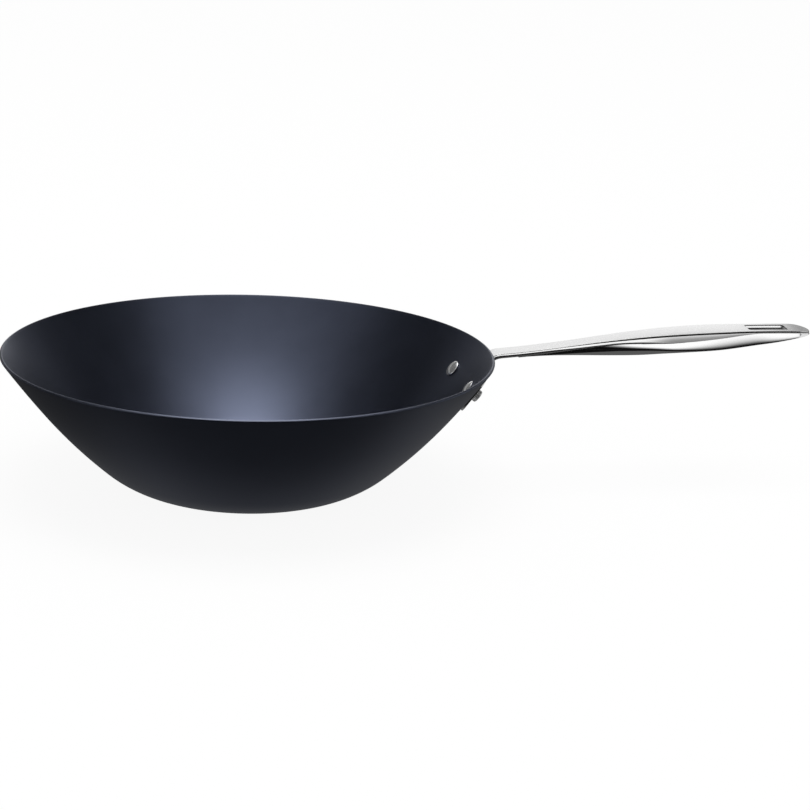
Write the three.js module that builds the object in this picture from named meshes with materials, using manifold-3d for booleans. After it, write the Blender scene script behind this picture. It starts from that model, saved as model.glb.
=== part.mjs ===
// A wok: a pressed steel bowl on a flat foot, with a long stainless handle held by two rivets.
// The handle is a strap, bent out of a blank with a flange that wraps the bowl's wall, and a hollow
// belly pressed to fit under the strap's grip, with a collar round the hanging slot.
// Millimetres, +Z up. The origin is the centre of the foot's underside, and the handle runs along +X.
import * as THREE from "three";
import { mergeVertices, toCreasedNormals } from "three/addons/utils/BufferGeometryUtils.js";
import Module from "manifold-3d";

const wasm = await Module();
wasm.setup();

const { degToRad, lerp, smoothstep } = THREE.MathUtils;

// Clearances
const seat = 0.3; // between faces that meet, and round each rivet's shank
const overrun = 5; // how far a cutter runs past what it cuts

// Shading
const crease = degToRad(30); // edges sharper than this stay sharp

// Bowl
const rimRadius = 150; // mouth, to the inner edge of the rim
const rimHeight = 86.1; // inner edge of the rim above the table
const footRadius = 45; // flat underside
const bowlWall = 1.8; // sheet
const wallAngle = degToRad(52.26); // upper wall, from the horizontal
const straightWall = 38.8; // straight stretch of the wall below the rim
const rimEase = 0.35; // chamfer on both edges of the cut rim
const bowlSides = 72; // facets round the bowl
const arcSteps = 6; // facets along each arc of its profile

// Flange, measured along the wall from the rim and across it
const flangeTop = 13; // upper corners of the wings below the rim
const flangeHeight = 22.5; // wings, along the wall
const flangeMargin = 10; // wings beyond the rivets' centres
const flangeFlare = 2.5; // how much further out each wing reaches at its lower corner
const flangeDepth = 2.7; // thickness
const flangeCorner = 5; // rounding of the wings
const shoulderRise = 3.5; // slope of the shoulders from the wings up to the neck
const neckFillet = 8; // between the shoulders and the neck

// Strap, measured outwards from the rim's inner edge and upwards from the rim
const neckDrop = 1.9; // top face below the rim where the bend ends
const bendRadius = 15; // top face, from the wall's slope to the neck's
const neckPitch = degToRad(4.1); // slope where the bend ends
const tipPitch = degToRad(-1.5); // slope at the tip
const neckEase = 65.9; // how far the neck's slope carries
const tipEase = 113.7; // how far the tip's slope carries
const handleReach = 209; // rim to tip
const tipRise = 10.8; // height above the rim that the top face's line reaches at the tip
const tipFall = 1.4; // how far the top face drops below that line at the tip
const fallLength = 13; // over this length
const neckWidth = 14.4; // top face
const gripWidth = 21.2; // top face
const widenFrom = 50; // where the neck starts to widen
const widenTo = 140; // where the grip has its full width
const crown = 0.4; // rise of the grip's top face at its centre line
const topEdge = 0.25; // rounding of the top face's edges
const neckDepth = 2.7; // thickness at the neck
const ledge = 0.8; // step down beside the grip's top face
const ledgeLeast = 0.05; // the same at the neck
const ledgeFrom = 40; // where it starts to deepen
const ledgeTo = 105; // where it is full
const ledgeLean = 0.1; // how far it leans out
const flankPitch = degToRad(55); // slope of the flanks below the step
const neckFlank = 0.5; // width of a flank at the neck, where it is a bevel
const bevelFull = 0.9; // where that bevel is widest
const bevelLeast = 0.15; // where it has run out
const bevelStops = [35, 58, 70, 110]; // where it starts and ends to widen, and then to run out
const flankFull = 2.3; // further width of a flank at the middle of the grip
const flankStops = [78, 120, 175]; // start, middle and end of that wider stretch
const sideLeast = 0.4; // upright side below the flanks
const sideFrom = 35; // where the neck's side starts to thin
const sideTo = 80; // where it has thinned
const lowEdge = 0.3; // rounding of the lower edges
const acrossSteps = 10; // facets across the strap
const cornerSteps = 5; // facets round each corner of the flange
const bendSteps = 4; // sections round the bend
const gripSteps = 30; // sections along the handle, and along the belly
const tipSteps = 7; // sections round the tip
const tipClose = degToRad(80); // how far round its half circle the tip's outline goes

// Belly
const bellyFrom = 18; // where it leaves the strap's underside
const sagFrom = 8; // where its lowest line starts to fall
const sagTo = 104; // where it is deepest
const bellyDepth = 12.9; // its lowest line there, below the strap's top face
const bellyLift = 10.8; // how much of that depth is gone at the tip
const liftPower = 2.8; // the higher, the later it goes
const bellyEdge = 0.4; // its own depth at its thin ends
const bellyInset = 0.2; // its lips inside the strap's sides
const bellyBulge = 2.8; // how far it swells out past its lips
const bulgeLeast = 0.05; // the same under the neck
const bulgeFrom = 75; // where it starts to swell
const bulgeTo = 130; // where it is widest
const tipTaper = 44; // length over which the swelling goes again
const lipLeast = degToRad(18); // from the top of the hollow's oval round to its lips, at least
const bellyWall = 1.2; // sheet
const hollowFrom = 62; // start of the hollow
const hollowEase = 12; // length over which it deepens
const tipSolid = 18; // solid end beyond the hollow
const bellySteps = 13; // facets round its section

// Hanging slot, through the strap and the belly
const slotLength = 27;
const slotWidth = 11;
const slotFromTip = 16; // its outer end to the tip
const collarWall = 1.2; // drawn collar round it inside the belly
const slotSteps = 8; // facets round each end

// Rivets
const rivetSpacing = 47; // centre to centre
const shankRadius = 3;
const headRadius = 5.1; // low dome inside the bowl
const headHeight = 1.9;
const headRim = 0.4; // straight edge under the dome
const tailRadius = 4; // formed end outside the flange
const tailHeight = 3.6;
const tailEase = 0.7; // chamfer on the tail
const rivetSides = 20;
const domeSteps = 5;

// Solids

// Turns a closed geometry into a solid that can be cut and joined.
function solid(geometry) {
  const bare = new THREE.BufferGeometry();
  bare.setAttribute("position", geometry.getAttribute("position"));
  bare.setIndex(geometry.getIndex());
  const merged = mergeVertices(bare);
  const triVerts = new Uint32Array(merged.index.array);
  const vertProperties = new Float32Array(merged.attributes.position.array);
  return new wasm.Manifold(new wasm.Mesh({ numProp: 3, vertProperties, triVerts }));
}

// Names a solid as one piece.
function piece(name, body, material) {
  const { vertProperties, triVerts } = body.getMesh();
  const geometry = new THREE.BufferGeometry();
  geometry.setAttribute("position", new THREE.BufferAttribute(vertProperties, 3));
  geometry.setIndex(new THREE.BufferAttribute(triVerts, 1));
  const mesh = new THREE.Mesh(toCreasedNormals(geometry, crease), material);
  mesh.name = name;
  return mesh;
}

// Turns a profile of (radius, height) points round the Z axis.
function revolve(profile, sides) {
  return new THREE.LatheGeometry(profile, sides).rotateX(Math.PI / 2);
}

// Joins rings of points into one closed skin. The first half of a ring runs along its upper side
// and the second half back along its lower side, so each end closes as a strip between the two.
function loft(rings) {
  const size = rings[0].length;
  const half = size / 2;
  const faces = [];
  for (let i = 0; i + 1 < rings.length; i++) {
    for (let j = 0; j < size; j++) {
      const a = i * size + j;
      const b = i * size + ((j + 1) % size);
      faces.push(a, a + size, b, b, a + size, b + size);
    }
  }
  const last = (rings.length - 1) * size;
  for (let j = 0; j + 1 < half; j++) {
    const k = size - 1 - j;
    faces.push(j, j + 1, k, k, j + 1, k - 1);
    faces.push(last + j, last + k, last + j + 1, last + k, last + k - 1, last + j + 1);
  }
  const geometry = new THREE.BufferGeometry().setFromPoints(rings.flat());
  return geometry.setIndex(faces);
}

// Bowl profile: the sheet's underside as points with the slope of the sheet at each.

const wallUp = new THREE.Vector2(Math.cos(wallAngle), Math.sin(wallAngle));
const wallOut = new THREE.Vector2(Math.sin(wallAngle), -Math.cos(wallAngle));

// Points of an arc that starts at one slope and ends at another.
function arc(start, from, to, radius, steps) {
  const points = [];
  for (let i = 0; i <= steps; i++) {
    const slope = lerp(from, to, i / steps);
    const x = start.x + radius * (Math.sin(slope) - Math.sin(from));
    const y = start.y + radius * (Math.cos(from) - Math.cos(slope));
    points.push({ x, y, slope });
  }
  return points;
}

// The foot and the straight wall are joined by two arcs with equal tangent lengths.
function underside() {
  const foot = new THREE.Vector2(footRadius, 0);
  const rim = new THREE.Vector2(rimRadius, rimHeight).addScaledVector(wallOut, bowlWall);
  const wallFoot = rim.clone().addScaledVector(wallUp, -straightWall);
  const span = wallFoot.clone().sub(foot);
  const reach = span.dot(wallUp) + span.x;
  const bend = 1 - wallUp.x;
  const tangent = (Math.sqrt(reach ** 2 + 2 * bend * span.lengthSq()) - reach) / (2 * bend);
  const turn = span.clone().addScaledVector(wallUp, -tangent);
  turn.x -= tangent;
  const middle = Math.atan2(turn.y, turn.x);
  const lower = arc(foot, 0, middle, tangent / Math.tan(middle / 2), arcSteps);
  const upperRadius = tangent / Math.tan((wallAngle - middle) / 2);
  const upper = arc(lower.at(-1), middle, wallAngle, upperRadius, arcSteps);
  const edge = rim.addScaledVector(wallUp, -rimEase);
  return [...lower, ...upper.slice(1), { x: edge.x, y: edge.y, slope: wallAngle }];
}

function bowlProfile() {
  const outer = underside();
  const inner = outer.map(({ x, y, slope }) => ({
    x: x - bowlWall * Math.sin(slope),
    y: y + bowlWall * Math.cos(slope),
  }));
  const rim = new THREE.Vector2(rimRadius, rimHeight);
  const cutInner = rim.clone().addScaledVector(wallOut, rimEase);
  const cutOuter = rim.clone().addScaledVector(wallOut, bowlWall - rimEase);
  const run = [{ x: 0, y: 0 }, ...outer, cutOuter, cutInner, ...inner.reverse(), { x: 0, y: bowlWall }];
  return run.map(({ x, y }) => new THREE.Vector2(x, y));
}

// Strap path: up the wall from the flange's lower edge, round the bend, and out along the handle.
// It is the top face's centre line, with x out from the rim's inner edge and z up from the rim.

const flangeLow = flangeTop + flangeHeight;
const strapOffset = bowlWall + seat; // inner wall to the strap's upper face
const bendTurn = wallAngle - neckPitch;
const bendDrop = bendRadius * (Math.cos(neckPitch) - Math.cos(wallAngle));
const bendFrom = (bendDrop + neckDrop - strapOffset * wallUp.x) / wallUp.y; // below the rim
const wallRun = flangeLow - bendFrom;
const neckStart = wallRun + bendRadius * bendTurn;

const bendFoot = wallOut.clone().multiplyScalar(strapOffset).addScaledVector(wallUp, -bendFrom);
const bendCentre = bendFoot.clone().addScaledVector(wallOut, bendRadius);

function handleCurve() {
  const start = new THREE.Vector2(
    bendCentre.x - bendRadius * Math.sin(neckPitch),
    bendCentre.y + bendRadius * Math.cos(neckPitch),
  );
  const tip = new THREE.Vector2(handleReach, tipRise);
  const leave = new THREE.Vector2(Math.cos(neckPitch), Math.sin(neckPitch)).multiplyScalar(neckEase);
  const arrive = new THREE.Vector2(Math.cos(tipPitch), Math.sin(tipPitch)).multiplyScalar(-tipEase);
  return new THREE.CubicBezierCurve(start, leave.add(start), arrive.add(tip), tip);
}

const handleLine = handleCurve();
const handleLength = handleLine.getLength();
const strapLength = neckStart + handleLength;

// Where the path is at a distance from the flange's lower edge: its place, its slope, and how much
// of the bowl's roundness the strap takes there.
function spot(along) {
  if (along < wallRun) {
    const place = bendFoot.clone().addScaledVector(wallUp, along - wallRun);
    return { x: place.x, z: place.y, slope: wallAngle, wrap: 1 };
  }
  if (along < neckStart) {
    const slope = wallAngle - (along - wallRun) / bendRadius;
    const x = bendCentre.x - bendRadius * Math.sin(slope);
    const z = bendCentre.y + bendRadius * Math.cos(slope);
    return { x, z, slope, wrap: (slope - neckPitch) / bendTurn };
  }
  const share = Math.min((along - neckStart) / handleLength, 1);
  const place = handleLine.getPointAt(share);
  const heading = handleLine.getTangentAt(share);
  const past = Math.max(place.x - (handleReach - fallLength), 0) / fallLength;
  const z = place.y - tipFall * past ** 2;
  return { x: place.x, z, slope: Math.atan2(heading.y, heading.x), wrap: 0 };
}

// The handle is nearly level, so a reach from the rim and a distance along the path differ by this.
const reachToAlong = neckStart - spot(neckStart).x;

// A point of a section: how far across the strap, and how deep below its top face.
function place(at, across, depth) {
  const x = at.x + depth * Math.sin(at.slope);
  const z = at.z - depth * Math.cos(at.slope);
  if (at.wrap === 0) return new THREE.Vector3(x, across, z);
  const curve = at.wrap / (rimRadius + x);
  const turn = across * curve;
  return new THREE.Vector3(x - (1 - Math.cos(turn)) / curve, Math.sin(turn) / curve, z);
}

// Sizes of the handle along its reach from the rim.

function gripShare(reach) {
  return smoothstep(reach, widenFrom, widenTo);
}

function halfWidth(reach) {
  return lerp(neckWidth, gripWidth, gripShare(reach)) / 2;
}

// Share of the grip's wider flanks: a long hump that starts and ends without a corner.
function flankShare(reach) {
  const [start, middle, end] = flankStops;
  const off = (reach - middle) / (reach < middle ? middle - start : end - middle);
  return Math.max(1 - off ** 2, 0) ** 1.5;
}

// The strap's side beside its top face: depth of the step, width of the flank below it, depth of the
// flank's foot, and depth of the strap.
function strapSide(at) {
  const [bevelFrom, bevelTo, fadeFrom, fadeTo] = bevelStops;
  const bevel = lerp(neckFlank, bevelFull, smoothstep(at.x, bevelFrom, bevelTo));
  const faded = lerp(bevel, bevelLeast, smoothstep(at.x, fadeFrom, fadeTo));
  const flank = faded + flankFull * flankShare(at.x);
  const step = topEdge + lerp(ledgeLeast, ledge, smoothstep(at.x, ledgeFrom, ledgeTo));
  const foot = step + flank * Math.tan(flankPitch);
  const neck = lerp(flangeDepth, neckDepth, 1 - at.wrap);
  const thinned = lerp(neck, foot + sideLeast, smoothstep(at.x, sideFrom, sideTo));
  return { step, flank, foot, depth: Math.max(thinned, foot + sideLeast) };
}

// Depth of the belly's lowest line below the strap's top face.
function bellyUnder(reach) {
  const past = Math.max(reach - sagTo, 0) / (handleReach - sagTo);
  const full = lerp(neckDepth, bellyDepth, smoothstep(reach, sagFrom, sagTo));
  return full - bellyLift * past ** liftPower;
}

function bulge(reach) {
  const off = Math.max(reach - (handleReach - tipTaper), 0) / tipTaper;
  const share = smoothstep(reach, bulgeFrom, bulgeTo) * Math.max(1 - off ** 2, 0);
  return lerp(bulgeLeast, bellyBulge, share);
}

// Stations of the blank: distance along the path and half width there.

const flangeHalf = rivetSpacing / 2 + flangeMargin;

function flangeStations() {
  const neckHalf = neckWidth / 2;
  const lower = new THREE.Vector2(0, flangeHalf + flangeFlare);
  const upper = new THREE.Vector2(flangeHeight, flangeHalf);
  const root = new THREE.Vector2(flangeHeight + shoulderRise, neckHalf);
  const side = upper.clone().sub(lower).normalize();
  const shoulder = root.clone().sub(upper).normalize();
  const toward = (from, direction, distance) => from.clone().addScaledVector(direction, distance);
  const outline = new THREE.Path();
  const bend = (corner, end) => outline.quadraticCurveTo(corner.x, corner.y, end.x, end.y);
  const line = (end) => outline.lineTo(end.x, end.y);
  outline.moveTo(0, lower.y - flangeCorner);
  bend(lower, toward(lower, side, flangeCorner));
  line(toward(upper, side, -flangeCorner));
  bend(upper, toward(upper, shoulder, flangeCorner));
  line(toward(root, shoulder, -neckFillet));
  bend(root, new THREE.Vector2(root.x + neckFillet, neckHalf));
  return outline.getPoints(cornerSteps).map(({ x, y }) => ({ along: x, half: y }));
}

// Even stations along the handle from one distance to another.
function gripStations(from, to, steps) {
  const stations = [];
  for (let i = 0; i <= steps; i++) {
    const along = lerp(from, to, i / steps);
    stations.push({ along, half: halfWidth(spot(along).x) });
  }
  return stations;
}

const tipRadius = gripWidth / 2;
const tipFrom = strapLength - tipRadius;

function tipStations() {
  const stations = [];
  for (let i = 1; i <= tipSteps; i++) {
    const turn = (tipClose * i) / tipSteps;
    stations.push({ along: tipFrom + tipRadius * Math.sin(turn), half: tipRadius * Math.cos(turn) });
  }
  return stations;
}

// Sections

// Strap: crowned top face, a small step beside it, sloping flanks and upright sides.
function strapRing({ along, half }) {
  const at = spot(along);
  const { step, flank, foot, depth } = strapSide(at);
  const rise = crown * gripShare(at.x) * (half / tipRadius);
  const ledgeHalf = half + ledgeLean;
  const wide = ledgeHalf + flank;
  const upper = [place(at, -wide, foot), place(at, -ledgeHalf, step), place(at, -half, topEdge)];
  for (let i = 0; i <= acrossSteps; i++) {
    const side = (2 * i) / acrossSteps - 1;
    upper.push(place(at, side * (half - topEdge), -rise * (1 - side ** 2)));
  }
  upper.push(place(at, half, topEdge), place(at, ledgeHalf, step), place(at, wide, foot));
  const lower = [place(at, wide, depth - lowEdge)];
  for (let i = upper.length - 3; i >= 0; i--) {
    const side = (2 * i) / (upper.length - 3) - 1;
    lower.push(place(at, side * (wide - lowEdge), depth));
  }
  lower.push(place(at, -wide, depth - lowEdge));
  return [...upper, ...lower];
}

// How far the belly is pressed out hollow: not at all at its thin start and at the tip.
function hollowShare(reach) {
  const start = smoothstep(reach, hollowFrom, hollowFrom + hollowEase);
  const end = handleReach - tipSolid;
  return start * (1 - smoothstep(reach, end - hollowEase, end));
}

// Belly: an oval cut open by the strap's underside. Its upper side runs down into the hollow.
// With an inset and no hollow it is the space that the collar fills, up to the middle of the sheet.
function bellyRing({ along, half }, hollow, inset) {
  const at = spot(along);
  const { flank, depth } = strapSide(at);
  const lipHalf = half + ledgeLean + flank - bellyInset;
  const wide = lipHalf + bulge(at.x);
  const lipTurn = Math.asin(lipHalf / wide);
  const lip = depth + seat;
  const tall = Math.max(bellyUnder(at.x) - lip, bellyEdge) / (1 + Math.cos(lipTurn));
  const drop = tall * Math.cos(lipTurn);
  const centre = lip + drop;
  const innerTall = Math.max(tall - bellyWall, bellyEdge / 2);
  const innerOpen = Math.max(Math.acos(Math.min(drop / innerTall, 1)), lipLeast);
  const innerWide = Math.max(wide - bellyWall, wide / 2);
  const innerLip = innerWide * Math.sin(innerOpen);
  const outerTall = Math.max(tall - inset, bellyEdge / 2);
  const press = hollow * hollowShare(at.x);
  const upper = [];
  const lower = [];
  for (let i = 0; i <= bellySteps; i++) {
    const share = i / bellySteps;
    const innerTurn = lerp(-innerOpen, innerOpen - 2 * Math.PI, share);
    const across = lerp(lerp(-innerLip, innerLip, share), innerWide * Math.sin(innerTurn), press);
    upper.push(place(at, across, lerp(lip, centre - innerTall * Math.cos(innerTurn), press)));
    const turn = lerp(lipTurn, 2 * Math.PI - lipTurn, share);
    lower.push(place(at, (wide - inset) * Math.sin(turn), centre - outerTall * Math.cos(turn)));
  }
  return [...upper, ...lower];
}

// Slot and rivet places

const slotMiddle = handleReach - slotFromTip - slotLength / 2;

// Heights of the strap's two faces at the ends of the collar.
const slotEnds = [-1, 1].map((side) => {
  const at = spot(reachToAlong + slotMiddle + side * (slotLength / 2 + collarWall));
  return { top: at.z, under: at.z - strapSide(at).depth };
});
const slotHigh = Math.max(...slotEnds.map(({ top }) => top)) + crown + overrun;
const collarHigh = Math.min(...slotEnds.map(({ under }) => under)) - 2 * seat; // clear of the strap
const slotLow = collarHigh - bellyDepth - overrun;

// A prism with round ends that stands where the hanging slot is, up to a height above the rim.
function slotPrism(margin, high) {
  const radius = slotWidth / 2;
  const straight = slotLength / 2 - radius;
  const shape = new THREE.Shape();
  shape.absarc(straight, 0, radius + margin, -Math.PI / 2, Math.PI / 2, false);
  shape.absarc(-straight, 0, radius + margin, Math.PI / 2, (3 * Math.PI) / 2, false);
  const options = { depth: high - slotLow, bevelEnabled: false, curveSegments: slotSteps };
  return new THREE.ExtrudeGeometry(shape, options).translate(slotMiddle, 0, slotLow);
}

// A rivet's frame stands on the inner wall, with its Z axis out through the wall.
function rivetFrame(side) {
  const below = flangeTop + flangeHeight / 2;
  const radius = rimRadius - below * wallUp.x;
  const turn = side * Math.asin(rivetSpacing / 2 / radius);
  const out = new THREE.Vector3(Math.cos(turn), Math.sin(turn), 0);
  const axis = out.clone().multiplyScalar(wallOut.x).setZ(wallOut.y);
  const foot = out.multiplyScalar(radius).setZ(-below * wallUp.y);
  foot.x -= rimRadius;
  const turned = new THREE.Quaternion().setFromUnitVectors(new THREE.Vector3(0, 0, 1), axis);
  return new THREE.Matrix4().compose(foot, turned, new THREE.Vector3(1, 1, 1));
}

const rivetFrames = { rivet_front: rivetFrame(-1), rivet_rear: rivetFrame(1) };
const flangeOuter = strapOffset + flangeDepth; // inner wall to the flange's outer face

// Holes for both rivets, in the rim's frame.
function rivetHoles() {
  const length = flangeOuter + 2 * overrun;
  return Object.values(rivetFrames).map((frame) => {
    const hole = new THREE.CylinderGeometry(shankRadius + seat, shankRadius + seat, length, rivetSides);
    return hole.rotateX(Math.PI / 2).translate(0, 0, flangeOuter / 2).applyMatrix4(frame);
  });
}

// Pieces

const rimFrame = new THREE.Vector3(rimRadius, 0, rimHeight);

function bowl() {
  let body = solid(revolve(bowlProfile(), bowlSides));
  for (const hole of rivetHoles()) {
    body = body.subtract(solid(hole.translate(rimFrame.x, rimFrame.y, rimFrame.z)));
  }
  return body;
}

function strap() {
  const blank = flangeStations();
  const bent = gripStations(blank.at(-1).along, neckStart, bendSteps).slice(1);
  const grip = gripStations(neckStart, tipFrom, gripSteps).slice(1);
  const rings = [...blank, ...bent, ...grip, ...tipStations()].map(strapRing);
  let body = solid(loft(rings)).subtract(solid(slotPrism(0, slotHigh)));
  for (const hole of rivetHoles()) body = body.subtract(solid(hole));
  return body;
}

function belly() {
  const skin = [...gripStations(reachToAlong + bellyFrom, tipFrom, gripSteps), ...tipStations()];
  const shell = solid(loft(skin.map((station) => bellyRing(station, 1, 0))));
  const space = solid(loft(skin.map((station) => bellyRing(station, 0, bellyWall / 2))));
  const collar = solid(slotPrism(collarWall, collarHigh)).intersect(space);
  return shell.add(collar).subtract(solid(slotPrism(0, slotHigh)));
}

function rivet() {
  const profile = [];
  for (let i = 0; i <= domeSteps; i++) {
    const turn = (Math.PI / 2) * (i / domeSteps);
    const radius = headRadius * Math.sin(turn);
    profile.push(new THREE.Vector2(radius, -seat - headRim - (headHeight - headRim) * Math.cos(turn)));
  }
  const tailFoot = flangeOuter + seat;
  const tailEnd = tailFoot + tailHeight;
  profile.push(
    new THREE.Vector2(headRadius, -seat),
    new THREE.Vector2(shankRadius, -seat),
    new THREE.Vector2(shankRadius, tailFoot),
    new THREE.Vector2(tailRadius, tailFoot),
    new THREE.Vector2(tailRadius, tailEnd - tailEase),
    new THREE.Vector2(tailRadius - tailEase, tailEnd),
    new THREE.Vector2(0, tailEnd),
  );
  return solid(revolve(profile, rivetSides));
}

// Finishes

const blackSteel = new THREE.MeshStandardMaterial({ color: 0x22242c, roughness: 0.45, metalness: 0.6 });
const satinSteel = new THREE.MeshStandardMaterial({ color: 0xd0d1d3, roughness: 0.3, metalness: 1 });
const brightSteel = new THREE.MeshStandardMaterial({ color: 0xdadbdc, roughness: 0.15, metalness: 1 });
const rivetSteel = new THREE.MeshStandardMaterial({ color: 0xe2e3e4, roughness: 0.12, metalness: 1 });

// Assembly

const handle = new THREE.Group();
handle.position.copy(rimFrame);
handle.add(piece("handle_strap", strap(), satinSteel));
handle.add(piece("handle_belly", belly(), brightSteel));
for (const [name, frame] of Object.entries(rivetFrames)) {
  const pin = piece(name, rivet(), rivetSteel);
  pin.applyMatrix4(frame);
  handle.add(pin);
}

const wok = new THREE.Group();
wok.add(piece("wok_bowl", bowl(), blackSteel));
wok.add(handle);

export default wok;
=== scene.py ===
import math

import bmesh
import bpy
import numpy as np
from mathutils import Matrix, Vector
from mathutils.geometry import delaunay_2d_cdt


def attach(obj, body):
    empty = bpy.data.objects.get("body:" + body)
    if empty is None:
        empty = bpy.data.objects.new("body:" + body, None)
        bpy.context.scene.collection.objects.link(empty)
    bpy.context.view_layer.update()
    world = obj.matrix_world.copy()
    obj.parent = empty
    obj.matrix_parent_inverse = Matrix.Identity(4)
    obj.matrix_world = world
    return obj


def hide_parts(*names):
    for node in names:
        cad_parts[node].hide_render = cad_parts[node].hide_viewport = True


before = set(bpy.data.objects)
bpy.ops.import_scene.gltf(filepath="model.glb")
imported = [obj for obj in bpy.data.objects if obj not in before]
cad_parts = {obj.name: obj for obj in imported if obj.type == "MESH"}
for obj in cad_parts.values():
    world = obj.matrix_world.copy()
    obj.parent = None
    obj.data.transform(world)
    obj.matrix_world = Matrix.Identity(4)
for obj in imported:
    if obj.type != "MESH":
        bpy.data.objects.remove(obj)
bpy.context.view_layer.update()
print("frame loaded")


class Wire:
    # one output socket of a node tree, so that sums on sockets read as sums
    def __init__(self, tree, socket=None):
        self.tree = tree
        self.socket = socket

    def node(self, kind, settings=None, values=None, out=0):
        made = self.tree.nodes.new(kind)
        for name, value in (settings or {}).items():
            setattr(made, name, value)
        for key, value in (values or {}).items():
            if isinstance(value, Wire):
                self.tree.links.new(value.socket, made.inputs[key])
            else:
                made.inputs[key].default_value = value
        return Wire(self.tree, made.outputs[out])

    def feed(self, socket):
        self.tree.links.new(self.socket, socket)

    def calc(self, operation, *others):
        return self.node("ShaderNodeMath", {"operation": operation}, dict(enumerate((self, *others))))

    def turned(self, operation, other):
        # the other value comes first
        return self.node("ShaderNodeMath", {"operation": operation}, {0: other, 1: self})

    def __add__(self, other):
        return self.calc("ADD", other)

    def __sub__(self, other):
        return self.calc("SUBTRACT", other)

    def __mul__(self, other):
        return self.calc("MULTIPLY", other)

    def __truediv__(self, other):
        return self.calc("DIVIDE", other)

    def __pow__(self, other):
        return self.calc("POWER", other)

    def __radd__(self, other):
        return self.turned("ADD", other)

    def __rsub__(self, other):
        return self.turned("SUBTRACT", other)

    def __rmul__(self, other):
        return self.turned("MULTIPLY", other)

    def __rtruediv__(self, other):
        return self.turned("DIVIDE", other)

    def absolute(self):
        return self.calc("ABSOLUTE")

    def sine(self):
        return self.calc("SINE")

    def cosine(self):
        return self.calc("COSINE")

    def limit(self, low, high):
        return self.node("ShaderNodeClamp", None, {"Value": self, "Min": low, "Max": high})

    def ramp(self, low, high):
        # 0 up to low, 1 from high on, straight between
        return ((self - low) / (high - low)).limit(0.0, 1.0)

    def step(self, low, high):
        # the same with soft ends
        values = {"Value": self, "From Min": low, "From Max": high}
        return self.node("ShaderNodeMapRange", {"interpolation_type": "SMOOTHSTEP"}, values)

    def axis(self, name):
        return self.node("ShaderNodeSeparateXYZ", None, {0: self}, name)

    def vector(self, x, y, z):
        return self.node("ShaderNodeCombineXYZ", None, {"X": x, "Y": y, "Z": z})

    def scaled(self, sizes):
        return self.node("ShaderNodeVectorMath", {"operation": "MULTIPLY"}, {0: self, 1: sizes})

    def blend(self, low, high):
        # two colours, by this factor
        return self.node("ShaderNodeMix", {"data_type": "RGBA"}, {0: self, 6: low, 7: high}, 2)

    def noise(self, scale, detail=2.0, rough=0.5):
        values = {"Vector": self, "Scale": scale, "Detail": detail, "Roughness": rough}
        return self.node("ShaderNodeTexNoise", None, values)

    def bump(self, strength, distance):
        return self.node("ShaderNodeBump", None, {"Strength": strength, "Distance": distance, "Height": self})


def colour(red, green, blue):
    return (red, green, blue, 1.0)


def angles(*degrees):
    return tuple(math.radians(angle) for angle in degrees)


def ease(value, low, high):
    share = np.clip((value - low) / (high - low), 0, 1)
    return share * share * (3 - 2 * share)


def lerp(low, high, share):
    return low + (high - low) * share


def placed(name, data):
    made = bpy.data.objects.new(name, data)
    bpy.context.scene.collection.objects.link(made)
    return made


# materials

oxide = {
    "tone": (0.1, 0.114, 0.163),
    "roughness": 0.37,
    "blotchScale": 38.0,
    "blotchShade": 0.94,
    "blotchGloss": 0.05,
    "grainScale": 2600.0,
    "grainGloss": 0.08,
    "grainBump": 0.12,
    "grainDepth": 0.0002,
    "rimStops": (0.0846, 0.0856),
    "rimTone": (0.2, 0.21, 0.24),
    "rimPaleShare": 0.2,
}
brushed = {
    "lineScale": (60.0, 3600.0, 3600.0),
    "lineBump": 0.06,
    "lineDepth": 0.00005,
    "cloudScale": 120.0,
    "cloudShade": 0.97,
    "cloudGloss": 0.03,
}


def newMetal(name, metallic):
    material = bpy.data.materials.new(name)
    material.use_nodes = True
    inputs = material.node_tree.nodes["Principled BSDF"].inputs
    inputs["Metallic"].default_value = metallic
    return material, inputs, Wire(material.node_tree).node("ShaderNodeTexCoord", out="Object")


def shaded(tone, share):
    return colour(*(share * part for part in tone))


def oxideSteel(name):
    # blue-black oxide: soft blotches, a fine grain and a paler band along the rim's top
    material, inputs, place = newMetal(name, 1.0)
    blotch = place.noise(oxide["blotchScale"], 3.0, 0.55)
    grain = place.noise(oxide["grainScale"], 2.0, 0.6)
    # paler colour on the band along the rim's top
    paleBand = place.axis("Z").step(*oxide["rimStops"]) * oxide["rimPaleShare"]
    base = blotch.step(0.3, 0.7).blend(shaded(oxide["tone"], oxide["blotchShade"]), colour(*oxide["tone"]))
    paleBand.blend(base, colour(*oxide["rimTone"])).feed(inputs["Base Color"])
    rough = oxide["roughness"] + (blotch - 0.5) * oxide["blotchGloss"] + (grain - 0.5) * oxide["grainGloss"]
    rough.feed(inputs["Roughness"])
    grain.bump(oxide["grainBump"], oxide["grainDepth"]).feed(inputs["Normal"])
    return material


def brushedSteel(name, tone, roughness, mark, metallic=1.0):
    # stainless with fine marks along the handle
    material, inputs, place = newMetal(name, metallic)
    lines = place.scaled(brushed["lineScale"]).noise(1.0, 2.0, 0.6)
    cloud = place.noise(brushed["cloudScale"], 2.0, 0.5)
    tones = (tone, tone, tone)
    cloud.blend(shaded(tones, brushed["cloudShade"]), colour(*tones)).feed(inputs["Base Color"])
    rough = roughness + (lines - 0.5) * mark + (cloud - 0.5) * brushed["cloudGloss"]
    rough.feed(inputs["Roughness"])
    lines.bump(brushed["lineBump"] * mark, brushed["lineDepth"]).feed(inputs["Normal"])
    return material


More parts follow.
